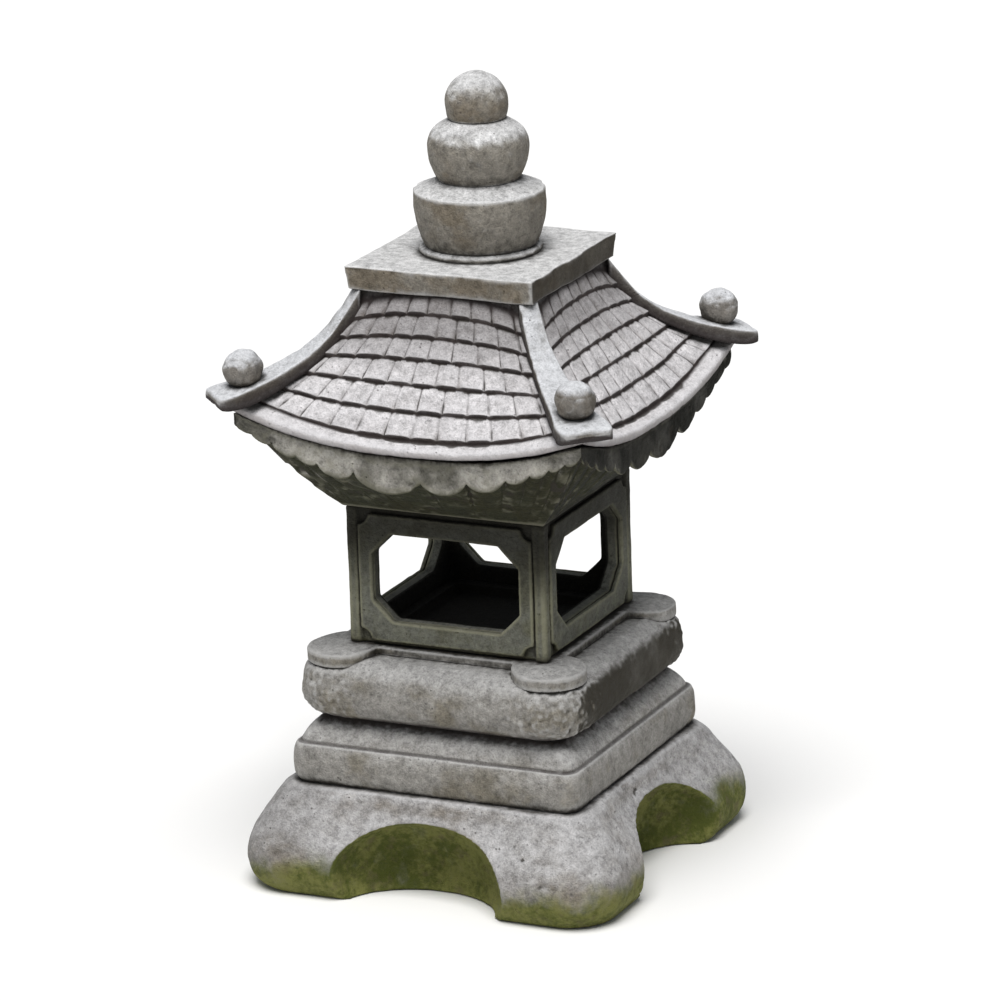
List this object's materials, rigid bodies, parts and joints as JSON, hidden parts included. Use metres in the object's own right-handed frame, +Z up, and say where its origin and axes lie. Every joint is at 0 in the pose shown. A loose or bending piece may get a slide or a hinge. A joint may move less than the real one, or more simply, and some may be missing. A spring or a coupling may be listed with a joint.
{
  "type": "stone lantern",
  "caption": "Pagoda-style garden lantern of stacked cast stones: arched foot, cushion platform, windowed fire box, tiled roof with upswept corners and a turned finial.",
  "frame": {"origin": "centre of the footprint on the ground, at the underside of the base stone", "axes": "+Z up along the lantern's axis of symmetry; the sides face +X, -X, +Y and -Y, and the front window faces -Y"},
  "size_m": [0.2618, 0.2618, 0.4861],
  "materials": {
    "foot_stone": "weathered cast stone, mossy at the ground",
    "course_stone": "weathered cast stone, pick dressed",
    "chamber_stone": "weathered cast stone, sooty",
    "soffit_stone": "weathered cast stone, mossy and sheltered",
    "tile_stone": "weathered cast stone",
    "ridge_stone": "weathered cast stone, rain bleached",
    "cap_stone": "weathered cast stone",
    "steel_pin": "stainless bar"
  },
  "bodies": {
    "base": {"base_stone": "foot_stone", "plinth_stone": "course_stone", "platform_stone": "course_stone", "seat_plate": "course_stone", "bed_pins": "steel_pin"},
    "lamp": {"fire_box": "chamber_stone", "window_surround_front": "chamber_stone", "window_surround_right": "chamber_stone", "window_surround_back": "chamber_stone", "window_surround_left": "chamber_stone"},
    "roof": {"eave_stone": "soffit_stone", "roof_stone": "tile_stone", "hip_ridge_front_left": "ridge_stone", "hip_ridge_front_right": "ridge_stone", "hip_ridge_back_right": "ridge_stone", "hip_ridge_back_left": "ridge_stone", "ridge_ball_front_left": "ridge_stone", "ridge_ball_front_right": "ridge_stone", "ridge_ball_back_right": "ridge_stone", "ridge_ball_back_left": "ridge_stone", "ball_pins": "steel_pin", "cap_slab": "cap_stone"},
    "finial": {"cap_ring": "cap_stone", "finial_drum": "cap_stone", "finial_bulb": "cap_stone", "finial_ball": "cap_stone", "finial_rod": "steel_pin"}
  },
  "joints": [
    {"name": "lamp_lift", "type": "slide", "parent": "base", "child": "lamp", "axis": [0, 0, 1], "range_m": [0, 0.06]},
    {"name": "roof_lift", "type": "slide", "parent": "lamp", "child": "roof", "axis": [0, 0, 1], "range_m": [0, 0.15]},
    {"name": "finial_lift", "type": "slide", "parent": "roof", "child": "finial", "axis": [0, 0, 1], "range_m": [0, 0.06]}
  ]
}
